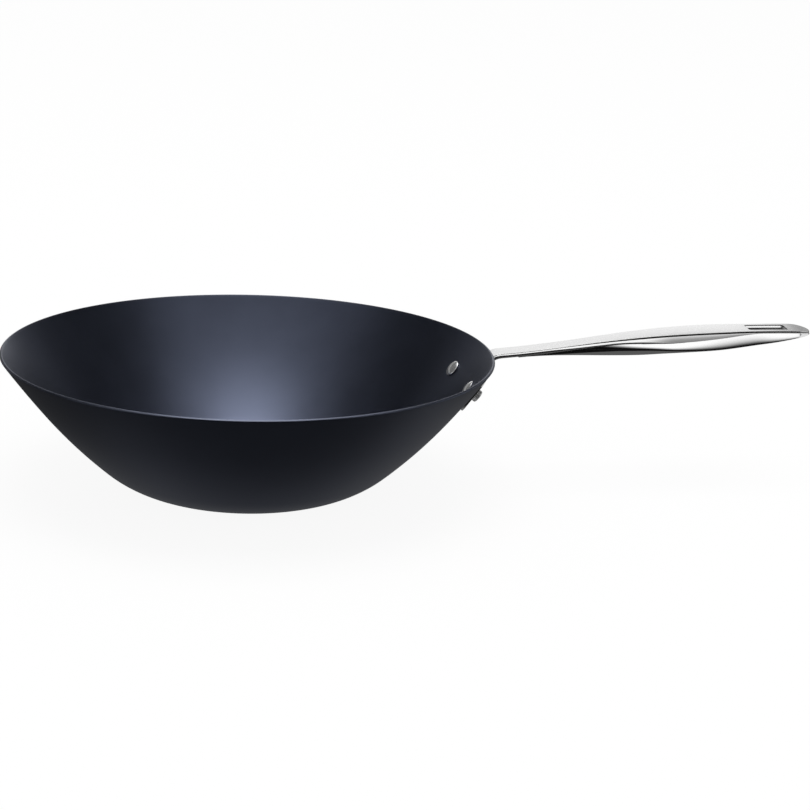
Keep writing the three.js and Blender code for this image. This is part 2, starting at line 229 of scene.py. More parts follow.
metals = {
    "outside": oxideSteel("blackSteelOutside"),
    "inside": oxideSteel("blackSteelInside"),
    "strap": brushedSteel("satinSteel", 0.775, 0.2, 0.1),
    # painted shade: a dark steel for the strap's step and the slot's step and far end, standing in for shade
    # in these recesses
    "grooveShade": brushedSteel("paintedGrooveShade", 0.18, 0.3, 0.1),
    "belly": brushedSteel("brightSteel", 0.82, 0.13, 0.05),
    "rivet": brushedSteel("rivetSteel", 0.84, 0.16, 0.04, 0.82),
}
print("materials made")


# node trees that make pieces

def newTree(name, values):
    # a tree with one input for each value
    tree = bpy.data.node_groups.new(name, "GeometryNodeTree")
    tree.is_modifier = True
    tree.interface.new_socket("Geometry", in_out="OUTPUT", socket_type="NodeSocketGeometry")
    for label, value in values.items():
        kind = "NodeSocketFloat"
        if isinstance(value, int):
            kind = "NodeSocketInt"
        elif isinstance(value, bpy.types.Material):
            kind = "NodeSocketMaterial"
        tree.interface.new_socket(label, in_out="INPUT", socket_type=kind)
    entry = tree.nodes.new("NodeGroupInput")
    return tree, {label: Wire(tree, entry.outputs[label]) for label in values}


def treePiece(name, makeTree, values):
    # the plain mesh that a tree makes from these values
    piece = placed(name, bpy.data.meshes.new(name))
    modifier = piece.modifiers.new("shape", "NODES")
    modifier.node_group = makeTree(values)
    sockets = modifier.node_group.interface.items_tree
    ids = {item.name: item.identifier for item in sockets if item.in_out == "INPUT"}
    for label, value in values.items():
        modifier[ids[label]] = value
    shown = piece.evaluated_get(bpy.context.evaluated_depsgraph_get())
    mesh = bpy.data.meshes.new_from_object(shown)
    piece.modifiers.remove(modifier)
    piece.data = mesh
    mesh.name = name
    return piece


def spun(start, sides, rows):
    # a flat grid, with the turn about the axis and the share along the profile at each point of it
    grid = start.node("GeometryNodeMeshGrid", None,
                      {"Size X": 1.0, "Size Y": 1.0, "Vertices X": sides, "Vertices Y": rows}, "Mesh")
    place = start.node("GeometryNodeInputPosition")
    return grid, (place.axis("X") + 0.5) * (2 * math.pi), place.axis("Y") + 0.5


def closed(start, grid, run, turn, radius, height):
    # the grid bent round the axis, its seam and its two ends drawn together
    kept = start.node("GeometryNodeStoreNamedAttribute", {"data_type": "FLOAT", "domain": "POINT"},
                      {"Geometry": grid, "Name": "run", "Value": run})
    place = start.vector(radius * turn.cosine(), radius * turn.sine(), height)
    folded = start.node("GeometryNodeSetPosition", None, {"Geometry": kept, "Position": place})
    merged = start.node("GeometryNodeMergeByDistance", None, {"Geometry": folded, "Distance": 1e-6})
    return start.node("GeometryNodeSetShadeSmooth", None, {"Geometry": merged, "Shade Smooth": True})


# bowl: one sheet, a flat foot, two arcs with a common tangent and a nearly straight wall up to a cut rim

bowl = {
    "rimRadius": 0.15,
    "rimHeight": 0.0861,
    "footRadius": 0.045,
    "sheet": 0.0018,
    "wallAngle": math.radians(52.26),
    "straightWall": 0.0388,
    "wallTurn": math.radians(3.5),
    "wallShift": 0.00015,
    "rimEdge": 0.0006,
    "rimSquareness": 0.75,
    "rimRun": (0.45, 0.55),  # shares of the profile at which the rim begins and ends
    "sides": 257,
    "rows": 241,
}
wallUp = np.array((math.cos(bowl["wallAngle"]), math.sin(bowl["wallAngle"])))
wallOut = np.array((wallUp[1], -wallUp[0]))


def bowlArcs(size):
    # the wall is an arc so flat that it lies within its shift of the straight line from foot to rim
    wallFrom = size["wallAngle"] - size["wallTurn"] / 2
    heading = np.array((math.cos(wallFrom), math.sin(wallFrom)))
    wallFoot = np.array((size["rimRadius"], size["rimHeight"])) - wallUp * size["straightWall"]
    wallFoot = wallFoot + wallOut * (size["sheet"] - size["wallShift"])
    span = wallFoot - np.array((size["footRadius"], 0))
    reach = span @ heading + span[0]
    bend = 1 - math.cos(wallFrom)
    tangent = (math.sqrt(reach ** 2 + 2 * bend * (span @ span)) - reach) / (2 * bend)
    chord = span - tangent * heading - np.array((tangent, 0))
    middle = math.atan2(chord[1], chord[0])
    lower = tangent / math.tan(middle / 2)
    upper = tangent / math.tan((wallFrom - middle) / 2)
    wall = size["straightWall"] / (2 * math.sin(size["wallTurn"] / 2))
    return {
        "Lower Radius": lower, "Lower Turn": middle,
        "Upper Radius": upper, "Upper Turn": wallFrom - middle,
        "Wall Radius": wall, "Wall Turn": size["wallTurn"],
    }


def bowlTree(values):
    tree, size = newTree("bowlSheet", values)
    start = Wire(tree)
    foot, sheet, edge, square = (size[key] for key in ("Foot Radius", "Sheet", "Rim Edge", "Rim Squareness"))
    arcs = [(size[part + " Radius"], size[part + " Turn"]) for part in ("Lower", "Upper", "Wall")]
    rimFrom, rimTo = bowl["rimRun"]
    grid, turn, run = spun(start, size["Sides"], size["Rows"])
    length = foot - edge
    for bend, angle in arcs:
        length = length + bend * angle
    # out along the underside, over the rim and back along the inside
    along = (run.ramp(0.0, rimFrom) - run.ramp(rimTo, 1.0)) * length
    radius, height, slope, begin = along.calc("MINIMUM", foot), 0.0, 0.0 * along, foot
    for bend, angle in arcs:
        bentTo = slope + ((along - begin) / bend).limit(0.0, angle)
        radius = radius + bend * (bentTo.sine() - slope.sine())
        height = height + bend * (slope.cosine() - bentTo.cosine())
        slope, begin = bentTo, begin + bend * angle
    over = run.ramp(rimFrom, rimTo) * math.pi
    side = over.cosine()
    inward = sheet * 0.5 * (1.0 - side.calc("SIGN") * side.absolute() ** square)
    beyond = edge * over.sine().limit(0.0, 1.0) ** square
    radius = radius + beyond * slope.cosine() - inward * slope.sine()
    height = height + beyond * slope.sine() + inward * slope.cosine()
    shell = closed(start, grid, run, turn, radius, height)
    real = start.node("GeometryNodeRealizeInstances", None, {"Geometry": shell})
    painted = start.node("GeometryNodeSetMaterial", None, {"Geometry": real, "Material": size["Outside"]})
    kept = start.node("GeometryNodeInputNamedAttribute", {"data_type": "FLOAT"}, {"Name": "run"})
    inner = {"Geometry": painted, "Selection": kept.calc("GREATER_THAN", 0.5), "Material": size["Inside"]}
    start.node("GeometryNodeSetMaterial", None, inner).feed(tree.nodes.new("NodeGroupOutput").inputs[0])
    return tree


bowlPiece = treePiece("wokBowl", bowlTree, {
    "Foot Radius": bowl["footRadius"], **bowlArcs(bowl), "Sheet": bowl["sheet"],
    "Rim Edge": bowl["rimEdge"], "Rim Squareness": bowl["rimSquareness"],
    "Sides": bowl["sides"], "Rows": bowl["rows"],
    "Outside": metals["outside"], "Inside": metals["inside"],
})
print("bowl made", len(bowlPiece.data.polygons))


# rivets: a low domed head inside the bowl, a shank and a formed end outside the flange

rivet = {
    "count": 2,
    "headRadius": 0.0053,
    "headHeight": 0.0019,
    "headRim": 0.0004,
    "domePower": 1.6,
    "shankRadius": 0.003,
    "seat": 0.0003,
    "tailFoot": 0.0051,
    "tailRadius": 0.004,
    "tailHeight": 0.0036,
    "tailEase": 0.0007,
    "below": 0.02425,
    "spacing": 0.047,
    "stops": (0.4, 0.45, 0.5, 0.6, 0.65, 0.8, 0.9),  # shares of the profile at which its parts end
    "sides": 49,
    "rows": 101,
}


def rivetTree(values):
    tree, size = newTree("rivetPair", values)
    start = Wire(tree)
    head, shank, tail = (size[part + " Radius"] for part in ("Head", "Shank", "Tail"))
    rim, seat, tailEase, ring = (size[key] for key in ("Head Rim", "Seat", "Tail Ease", "Ring Radius"))
    domeTo, rimTo, headTo, shankTo, tailFrom, sideTo, roundTo = rivet["stops"]
    grid, turn, run = spun(start, size["Sides"], size["Rows"])
    dome = run.ramp(0.0, domeTo) * (math.pi / 2)
    rounded = run.ramp(sideTo, roundTo) * (math.pi / 2)
    radius = head * dome.sine() + (shank - head) * run.ramp(rimTo, headTo)
    radius = radius + (tail - shank) * run.ramp(shankTo, tailFrom)
    radius = radius - tailEase * (1.0 - rounded.cosine()) - (tail - tailEase) * run.ramp(roundTo, 1.0)
    cap = dome.cosine().limit(0.0, 1.0) ** rivet["domePower"]
    height = (rim - size["Head Height"]) * cap - rim - seat
    height = height + rim * run.ramp(domeTo, rimTo) + (size["Tail Foot"] + seat) * run.ramp(headTo, shankTo)
    height = height + (size["Tail Height"] - tailEase) * run.ramp(tailFrom, sideTo) + tailEase * rounded.sine()
    one = closed(start, grid, run, turn, radius, height)
    side = start.node("GeometryNodeInputIndex") * 2.0 - 1.0
    bearing = side * (size["Spacing"] * 0.5 / ring).calc("ARCSINE")
    spot = start.vector(ring * bearing.cosine(), ring * bearing.sine(), size["Ring Height"])
    places = start.node("GeometryNodePoints", None, {"Count": size["Count"], "Position": spot})
    wall = size["Wall Angle"]
    outward = start.vector(bearing.cosine() * wall.sine(), bearing.sine() * wall.sine(), 0.0 - wall.cosine())
    lean = start.node("FunctionNodeAlignRotationToVector", {"axis": "Z"}, {"Vector": outward})
    pair = start.node("GeometryNodeInstanceOnPoints", None,
                      {"Points": places, "Instance": one, "Rotation": lean})
    real = start.node("GeometryNodeRealizeInstances", None, {"Geometry": pair})
    painted = start.node("GeometryNodeSetMaterial", None, {"Geometry": real, "Material": size["Metal"]})
    painted.feed(tree.nodes.new("NodeGroupOutput").inputs[0])
    return tree


rivetPiece = treePiece("rivets", rivetTree, {
    "Head Radius": rivet["headRadius"], "Head Height": rivet["headHeight"], "Head Rim": rivet["headRim"],
    "Shank Radius": rivet["shankRadius"], "Seat": rivet["seat"], "Tail Foot": rivet["tailFoot"],
    "Tail Radius": rivet["tailRadius"], "Tail Height": rivet["tailHeight"], "Tail Ease": rivet["tailEase"],
    "Ring Radius": float(bowl["rimRadius"] - rivet["below"] * wallUp[0]),
    "Ring Height": float(bowl["rimHeight"] - rivet["below"] * wallUp[1]),
    "Spacing": rivet["spacing"], "Wall Angle": bowl["wallAngle"], "Count": rivet["count"],
    "Sides": rivet["sides"], "Rows": rivet["rows"], "Metal": metals["rivet"],
})
print("rivets made", len(rivetPiece.data.polygons))


# handle strap: a flat blank, bent out of the wall and along the grip, with a small step beside its
# top face and sloping flanks below the step

strap = {
    "seat": 0.0003,
    "flangeTop": 0.013,
    "flangeHeight": 0.0225,
    "flangeHalf": 0.0335,
    "flangeFlare": 0.0025,
    "flangeCorner": 0.005,
    "shoulderRise": 0.0035,
    "neckFillet": 0.008,
    "neckDrop": 0.0019,
    "bendRadius": 0.015,
    "neckPitch": math.radians(4.1),
    "tipPitch": math.radians(-1.5),
    "neckEase": 0.0659,
    "tipEase": 0.1137,
    "reach": 0.209,
    "tipRise": 0.0108,
    "tipFall": 0.0014,
    "fallLength": 0.013,
    "tipBack": 0.0003,
    "tipArc": 86,  # degrees
    "neckTop": 0.0072,
    "gripTop": 0.0106,
    "widenFrom": 0.05,
    "widenTo": 0.14,
    "tipNarrow": 0.0011,
    "tipStops": (0.145, 0.172),
    "crown": 0.0004,
    "crownFade": 0.75,
    "topEdge": 0.00025,
    "neckDepth": 0.0027,
    "ledge": 0.001,
    "ledgeLeast": 0.0002,
    "ledgeStops": (0.04, 0.105),
    "ledgeLean": 0.0001,
    "bevelPitch": math.radians(46),
    "flankPitch": math.radians(63),
    "pitchStops": (0.085, 0.118),
    "flankRound": 1.15,
    "neckFlank": 0.0005,
    "bevelFull": 0.0009,
    "bevelLeast": 0.00015,
    "bevelStops": (0.035, 0.058, 0.07, 0.11),
    "flankFull": 0.0017,
    "flankStops": (0.078, 0.12, 0.175),
    "flankPower": 1.5,
    "sideLeast": 0.0008,
    "sideGrip": 0.00004,
    "sideStops": (0.035, 0.08),
    "lowEdge": 0.00015,
    "lowEdgeGrip": 0.00002,
    "grooveStops": (0.09, 0.122),
    "slotMiddle": 0.1802,
    "slotLength": 0.0257,
    "slotWidth": 0.0124,
    "slotCorner": 0.0015,
    "slotEdge": 0.0001,
    "slotStep": 0.0006,
    "slotFunnel": 0.0013,
    "funnelDepth": 0.0008,
    "landing": 0.0002,  # a flat ring inside each edge
    "outlineStep": 0.002,
    "gridFrom": 0.0015,
    "gridAcross": 0.0024,
    "gridClear": 0.001,
    "loopClear": 0.0009,
    "sharp": math.radians(22),
}


def handlePath(size):
    # the top face's middle line: distance along the blank, place, slope and how much it wraps the wall
    wall, pitch, bend = bowl["wallAngle"], size["neckPitch"], size["bendRadius"]
    offset = bowl["sheet"] + size["seat"]
    drop = bend * (math.cos(pitch) - math.cos(wall)) + size["neckDrop"] - offset * math.cos(wall)
    bendFrom = drop / math.sin(wall)
    wallRun = size["flangeTop"] + size["flangeHeight"] - bendFrom
    foot = wallOut * offset - wallUp * bendFrom
    centre = foot + wallOut * bend
    flat = np.linspace(0, wallRun, 12)[:-1]
    slopes = np.linspace(wall, pitch, 25)
    begin = centre + bend * np.array((-math.sin(pitch), math.cos(pitch)))
    end = np.array((size["reach"], size["tipRise"]))
    second = begin + size["neckEase"] * np.array((math.cos(pitch), math.sin(pitch)))
    third = end - size["tipEase"] * np.array((math.cos(size["tipPitch"]), math.sin(size["tipPitch"])))
    t = np.linspace(0, 1, 401)[1:, None]
    curve = (1 - t) ** 3 * begin + 3 * t * (1 - t) ** 2 * second + 3 * t * t * (1 - t) * third + t ** 3 * end
    heading = (1 - t) ** 2 * (second - begin) + 2 * t * (1 - t) * (third - second) + t * t * (end - third)
    lengths = np.cumsum(np.hypot(*np.diff(np.vstack((begin, curve)), axis=0).T))
    past = np.maximum(curve[:, 0] - (size["reach"] - size["fallLength"]), 0) / size["fallLength"]
    bendAlong = wallRun + bend * (wall - slopes)
    rise = curve[:, 1] - size["tipFall"] * past ** 2
    wallX, wallZ = (foot[i] + wallUp[i] * (flat - wallRun) for i in (0, 1))
    return {
        "along": np.concatenate((flat, bendAlong, bendAlong[-1] + lengths)),
        "x": np.concatenate((wallX, centre[0] - bend * np.sin(slopes), curve[:, 0])),
        "z": np.concatenate((wallZ, centre[1] + bend * np.cos(slopes), rise)),
        "slope": np.concatenate((np.full(len(flat), wall), slopes, np.arctan2(heading[:, 1], heading[:, 0]))),
        "wrap": np.concatenate((np.ones(len(flat)), (slopes - pitch) / (wall - pitch), np.zeros(len(curve)))),
    }


path = handlePath(strap)
pathEnd = path["along"][-1] - strap["tipBack"]


def alongAt(reach):
    return np.interp(reach, path["x"], path["along"])


def reachAt(along):
    return np.interp(along, path["along"], path["x"])


def bent(along, across, depth):
    # points of the flat blank, moved to the bent handle
    x, z, slope, wrap = (np.interp(along, path["along"], path[key]) for key in ("x", "z", "slope", "wrap"))
    x, z = x + depth * np.sin(slope), z - depth * np.cos(slope)
    curve = np.maximum(wrap, 1e-6) / (bowl["rimRadius"] + x)
    turn = across * curve
    out = bowl["rimRadius"] + x - (1 - np.cos(turn)) / curve
    return np.stack((out, np.sin(turn) / curve, bowl["rimHeight"] + z), axis=1)


def gripShare(x):
    return ease(x, strap["widenFrom"], strap["widenTo"])


def topHalf(x):
    half = lerp(strap["neckTop"], strap["gripTop"], gripShare(x))
    return half - strap["tipNarrow"] * ease(x, *strap["tipStops"])


def crownHeight(x):
    return strap["crown"] * gripShare(x) * (1 - strap["crownFade"] * ease(x, *strap["tipStops"]))


def flankShare(x):
    start, middle, end = strap["flankStops"]
    off = (x - middle) / np.where(x < middle, middle - start, end - middle)
    return np.maximum(1 - off * off, 0) ** strap["flankPower"]


def sideSizes(x):
    # beside the top face: depth of the step, width of the flank, depth of its foot, depth of the strap
    bevelFrom, bevelTo, fadeFrom, fadeTo = strap["bevelStops"]
    bevel = lerp(strap["neckFlank"], strap["bevelFull"], ease(x, bevelFrom, bevelTo))
    flank = lerp(bevel, strap["bevelLeast"], ease(x, fadeFrom, fadeTo)) + strap["flankFull"] * flankShare(x)
    step = lerp(strap["ledgeLeast"], strap["ledge"], ease(x, *strap["ledgeStops"])) + strap["topEdge"]
    pitch = lerp(strap["bevelPitch"], strap["flankPitch"], ease(x, *strap["pitchStops"]))
    foot = step + flank * np.tan(pitch)
    least = foot + lerp(strap["sideLeast"], strap["sideGrip"], ease(x, *strap["grooveStops"]))
    deep = np.maximum(lerp(strap["neckDepth"], least, ease(x, *strap["sideStops"])), least)
    return step, flank, foot, deep


def strapHalf(x):
    return topHalf(x) + strap["ledgeLean"] + sideSizes(x)[1]


def corner(before, at, after, size, count):
    # a rounded corner of a line
    before, at, after = (np.array(point) for point in (before, at, after))
    start = at + (before - at) / np.linalg.norm(before - at) * size
    end = at + (after - at) / np.linalg.norm(after - at) * size
    shares = np.linspace(0, 1, count)
    return [tuple((1 - t) ** 2 * start + 2 * t * (1 - t) * at + t * t * end) for t in shares]


def strapOutline():
    # the blank's outline as a loop of (along, across), anticlockwise from the flange's lower corner
    neck = float(strapHalf(0.0))
    root = strap["flangeHeight"] + strap["shoulderRise"]
    lower = (0.0, strap["flangeHalf"] + strap["flangeFlare"])
    upper = (strap["flangeHeight"], strap["flangeHalf"])
    side = corner((0.0, 0.0), lower, upper, strap["flangeCorner"], 8)
    side += corner(lower, upper, (root, neck), strap["flangeCorner"], 8)
    side += corner(upper, (root, neck), (root + 0.02, neck), strap["neckFillet"], 12)
    tipRadius = float(strapHalf(strap["reach"]))
    tipFrom = pathEnd - tipRadius
    stride = strap["outlineStep"]
    for along in np.arange(side[-1][0] + stride, tipFrom - stride / 2, stride):
        side.append((along, float(strapHalf(reachAt(along)))))
    for angle in np.radians(np.linspace(0, strap["tipArc"], 22)):
        side.append((tipFrom + tipRadius * math.sin(angle), tipRadius * math.cos(angle)))
    edge = [(0.0, across) for across in np.linspace(side[0][1], -side[0][1], 25)[1:-1]]
    return np.array([(a, -h) for a, h in side] + [(pathEnd, 0.0)] + side[::-1] + edge)


def slotOutline():
    # the slot's outline, clockwise so that the metal is on its left
    radius = strap["slotCorner"]
    straight, wide = strap["slotLength"] / 2 - radius, strap["slotWidth"] / 2 - radius
    points = []
    for sign in (1, -1):
        for angle in np.radians(np.linspace(90, 0, 9)):
            along, across = straight + radius * math.cos(angle), wide + radius * math.sin(angle)
            points.append((sign * along, sign * across))
        points.append((sign * (straight + radius), 0.0))
        for angle in np.radians(np.linspace(0, -90, 9)):
            along, across = straight + radius * math.cos(angle), radius * math.sin(angle) - wide
            points.append((sign * along, sign * across))
        shares = np.linspace(0.75, -0.75, 7)
        points += [(sign * straight * share, -sign * (wide + radius)) for share in shares]
    loop = np.array(points)
    loop[:, 0] = alongAt(strap["slotMiddle"] + loop[:, 0])
    return loop


def slotGap(spots):
    # how far points of the blank are outside the slot
    radius = strap["slotCorner"]
    along = np.abs(reachAt(spots[:, 0]) - strap["slotMiddle"]) - strap["slotLength"] / 2 + radius
    across = np.abs(spots[:, 1]) - strap["slotWidth"] / 2 + radius
    inside = np.minimum(np.maximum(along, across), 0)
    return np.hypot(np.maximum(along, 0), np.maximum(across, 0)) + inside - radius


def insetLoop(loop, distance):
    # a loop moved to its left by a distance of its own at each point
    ahead = np.roll(loop, -1, axis=0) - loop
    ahead /= np.linalg.norm(ahead, axis=1)[:, None]
    left = np.stack((-ahead[:, 1], ahead[:, 0]), axis=1)
    mean = left + np.roll(left, 1, axis=0)
    mean /= np.linalg.norm(mean, axis=1)[:, None]
    stretch = 1 / np.maximum(np.sum(mean * left, axis=1), 0.5)
    return loop + mean * (distance * stretch)[:, None]


def innerSpots(loops):
    # points of a loose grid inside the first loop that keep clear of both
    side = loops[0][loops[0][:, 1] > 0]
    side = side[np.argsort(side[:, 0])]
    clear = strap["gridClear"]
    spots = []
    for along in np.arange(strap["gridFrom"], side[-1, 0] - clear, strap["outlineStep"]):
        half = np.interp(along, side[:, 0], side[:, 1]) - clear
        if half > clear:
            count = max(2, int(2 * half / strap["gridAcross"]))
            spots += [(along, across) for across in np.linspace(-half, half, count + 1)]
    spots = np.array(spots)
    for loop in loops:
        gaps = np.min(np.linalg.norm(spots[:, None] - loop[None], axis=2), axis=1)
        spots = spots[gaps > strap["loopClear"]]
    return spots[slotGap(spots) > clear]


def fillLoops(loops, spots):
    # triangles between the outline, the slot and the points inside
    points = np.vstack((*loops, spots))
    edges, first = [], 0
    for loop in loops:
        edges += [(first + i, first + (i + 1) % len(loop)) for i in range(len(loop))]
        first += len(loop)
    found = delaunay_2d_cdt([Vector(point) for point in points], edges, [], 2, 1e-7)
    source = [olds[0] for olds in found[3]]
    faces = [[source[i] for i in face] for face in found[2]]
    # a face with all its points on the slot's loop lies inside the slot
    hole = range(len(loops[0]), len(loops[0]) + len(loops[1]))
    return [face for face in faces if not all(i in hole for i in face)]


def meshPiece(name, points, faces, metal, sharp):
    used = sorted({i for face in faces for i in face})
    place = {old: new for new, old in enumerate(used)}
    mesh = bpy.data.meshes.new(name)
    mesh.from_pydata([tuple(points[i]) for i in used], [], [[place[i] for i in face] for face in faces])
    mesh.shade_smooth()
    mesh.set_sharp_from_angle(angle=sharp)
    mesh.materials.append(metal)
    return placed(name, mesh)


def makeStrap():
    groups, faces, paintedShadeFaces = [], [], []
    quarter = np.radians(np.linspace(0, 90, 6))
    stepRow = len(quarter)
    landing = strap["landing"]

    def add(flat, depth, deep):
        # points of the blank at a depth, with the top face's crown above them
        x = reachAt(flat[:, 0])
        side = np.clip(flat[:, 1] / topHalf(x), -1, 1)
        rise = crownHeight(x) * (1 - side * side) * (1 - depth / deep)
        first = sum(len(group) for group in groups)
        groups.append(bent(flat[:, 0], flat[:, 1], depth - rise))
        return first

    def addRings(loop, rings, deep):
        # a wall of rings from the top face's edge down to the underside's, with painted shade on its step
        flats = [insetLoop(loop, inset + 0 * deep) for inset, depth in rings]
        firsts = [add(flat, depth + 0 * deep, deep) for flat, (inset, depth) in zip(flats, rings)]
        count = len(loop)
        for row, (upper, lower) in enumerate(zip(firsts, firsts[1:])):
            # the step's faces get the painted shade
            if row == stepRow:
                paintedShadeFaces.extend(range(len(faces), len(faces) + count))
            for i in range(count):
                j = (i + 1) % count
                faces.append((upper + i, lower + i, lower + j, upper + j))
        return (flats[0], firsts[0]), (flats[-1], firsts[-1])

    def lowRound(low, deep, inset):
        return [(low * (1 - math.cos(q)) - inset, deep - low * (1 - math.sin(q))) for q in quarter[::2]]

    outline, slot = strapOutline(), slotOutline()
    reach = reachAt(outline[:, 0])
    step, flank, foot, deep = sideSizes(reach)
    low = lerp(strap["lowEdge"], strap["lowEdgeGrip"], ease(reach, *strap["grooveStops"]))
    edge, bow = strap["topEdge"], strap["flankRound"]
    wide = flank + strap["ledgeLean"]
    rings = [(wide + edge + landing, 0.0)]
    rings += [(wide + edge * (1 - math.sin(q)), edge * (1 - math.cos(q))) for q in quarter]
    rings += [(flank * (1 - share), lerp(step, foot, share ** bow)) for share in (0, 0.25, 0.5, 0.75, 1)]
    rings += lowRound(low, deep, 0) + [(low, deep), (low + landing, deep)]
    outerTop, outerLow = addRings(outline, rings, deep)
    # the slot: a small step, a funnel and an upright wall, with painted shade on the step and on the funnel at
    # the far end
    roll, funnel, low = strap["slotEdge"], strap["slotFunnel"], strap["lowEdgeGrip"]
    slotDeep = sideSizes(reachAt(slot[:, 0]))[3]
    shares = (0, 0.33, 0.67, 1)
    rings = [(roll + landing, 0.0)]
    rings += [(roll * (1 - math.sin(q)), roll * (1 - math.cos(q))) for q in quarter]
    rings += [(-funnel * share, strap["slotStep"] + strap["funnelDepth"] * share) for share in shares]
    rings += lowRound(low, slotDeep, funnel) + [(low - funnel + landing, slotDeep)]
    funnelFrom = len(faces) + (stepRow + 1) * len(slot)
    slotTop, slotLow = addRings(slot, rings, slotDeep)
    farFrom = alongAt(strap["slotMiddle"] + strap["slotLength"] / 2 - strap["slotCorner"])
    # painted shade on the funnel at the slot's far end
    for row in range(len(shares) - 1):
        paintedShadeFaces.extend(funnelFrom + row * len(slot) + i for i in np.nonzero(slot[:, 0] > farFrom)[0])
    # the top face and the underside
    for outer, inner, turn in ((outerTop, slotTop, 1), (outerLow, slotLow, -1)):
        loops = (outer[0], inner[0])
        spots = innerSpots(loops)
        spotDeep = sideSizes(reachAt(spots[:, 0]))[3]
        first = add(spots, spotDeep * (turn < 0), spotDeep)
        index = []
        for flat, begin in (outer, inner, (spots, first)):
            index += range(begin, begin + len(flat))
        faces.extend([index[i] for i in face][::turn] for face in fillLoops(loops, spots))
    piece = meshPiece("handleStrap", np.vstack(groups), faces, metals["strap"], strap["sharp"])
    # a second material, the painted shade for the steps and the slot's far end
    piece.data.materials.append(metals["grooveShade"])
    for i in paintedShadeFaces:
        piece.data.polygons[i].material_index = 1
    return piece


strapPiece = makeStrap()
print("strap made", len(strapPiece.data.polygons))


# handle belly: a rounded shell under the grip that ends at the tip, with the slot through it

belly = {
    "from": 0.018,
    "sagFrom": 0.008,
    "sagTo": 0.104,
    "depth": 0.0129,
    "lift": 0.0113,
    "liftPower": 3.2,
    "edge": 0.0004,
    "inset": 0.0002,
    "bulge": 0.0034,
    "bulgeLeast": 0.00005,
    "bulgeStops": (0.055, 0.122),
    "tipTaper": 0.034,
    "neckWaist": 0.42,
    "gripWaist": 0.84,
    "gripTrim": 0.13,
    "waistStops": (0.095, 0.15),
    "seam": 0.0003,
    "seamGrip": 0.00002,
    "neckRound": 2.0,
    "gripRound": 1.45,
    "stationStep": 0.0025,
    "sideColumns": 16,
    "sideCrowding": 1.6,
    "lowColumns": 24,
    "lidColumns": 7,
    "cutDepths": (-0.02, 0.04),
    "joinWithin": 2e-6,
    "sharp": math.radians(40),
}


def bellyRing(x, half):
    # one closed ring of (across, depth): round the oval from lip to lip, then back over the lid
    step, flank, foot, deep = (float(value) for value in sideSizes(x))
    meeting = float(ease(x, *strap["grooveStops"]))
    lipHalf = half + strap["ledgeLean"] + flank - lerp(belly["inset"], 0.0, meeting)
    off = max(x - (strap["reach"] - belly["tipTaper"]), 0) / belly["tipTaper"]
    swell = ease(x, *belly["bulgeStops"]) * max(1 - off * off, 0)
    wide = lipHalf + lerp(belly["bulgeLeast"], belly["bulge"], swell)
    past = max(x - belly["sagTo"], 0) / (strap["reach"] - belly["sagTo"])
    under = lerp(strap["neckDepth"], belly["depth"], ease(x, belly["sagFrom"], belly["sagTo"]))
    under -= belly["lift"] * past ** belly["liftPower"]
    top = deep + lerp(belly["seam"], belly["seamGrip"], meeting)
    low = ease(x, *belly["waistStops"])
    tall = max(under - top, belly["edge"]) * (1 - belly["gripTrim"] * low)
    waist = lerp(belly["neckWaist"], belly["gripWaist"], low) * tall
    # from a lip out to the widest place, a waist's depth below it, and in along a flat oval
    shares = 1 - (1 - np.linspace(0, 1, belly["sideColumns"])) ** belly["sideCrowding"]
    power = lerp(belly["neckRound"], belly["gripRound"], low)
    side = [(wide - (wide - lipHalf) * (1 - u) ** power, top + waist * u) for u in shares]
    turns = np.radians(np.linspace(0, 90, belly["lowColumns"])[1:])
    side += [(wide * math.cos(t), top + waist + (tall - waist) * math.sin(t)) for t in turns]
    other = [(-across, depth) for across, depth in side[-2::-1]]
    lid = np.linspace(-lipHalf, lipHalf, belly["lidColumns"] + 2)[1:-1]
    return np.array(side + other + [(across, top) for across in lid])


def slotCutter():
    # a prism of the slot's inner outline
    slot = slotOutline()
    loop = insetLoop(slot, np.full(len(slot), -strap["slotFunnel"]))[::-1]
    count = len(loop)
    points = [bent(loop[:, 0], loop[:, 1], np.full(count, depth)) for depth in belly["cutDepths"]]
    walls = [(i, count + i, count + (i + 1) % count, (i + 1) % count) for i in range(count)]
    ends = [tuple(range(count)), tuple(range(count, 2 * count))[::-1]]
    return meshPiece("slotCutter", np.vstack(points), walls + ends, metals["belly"], belly["sharp"])


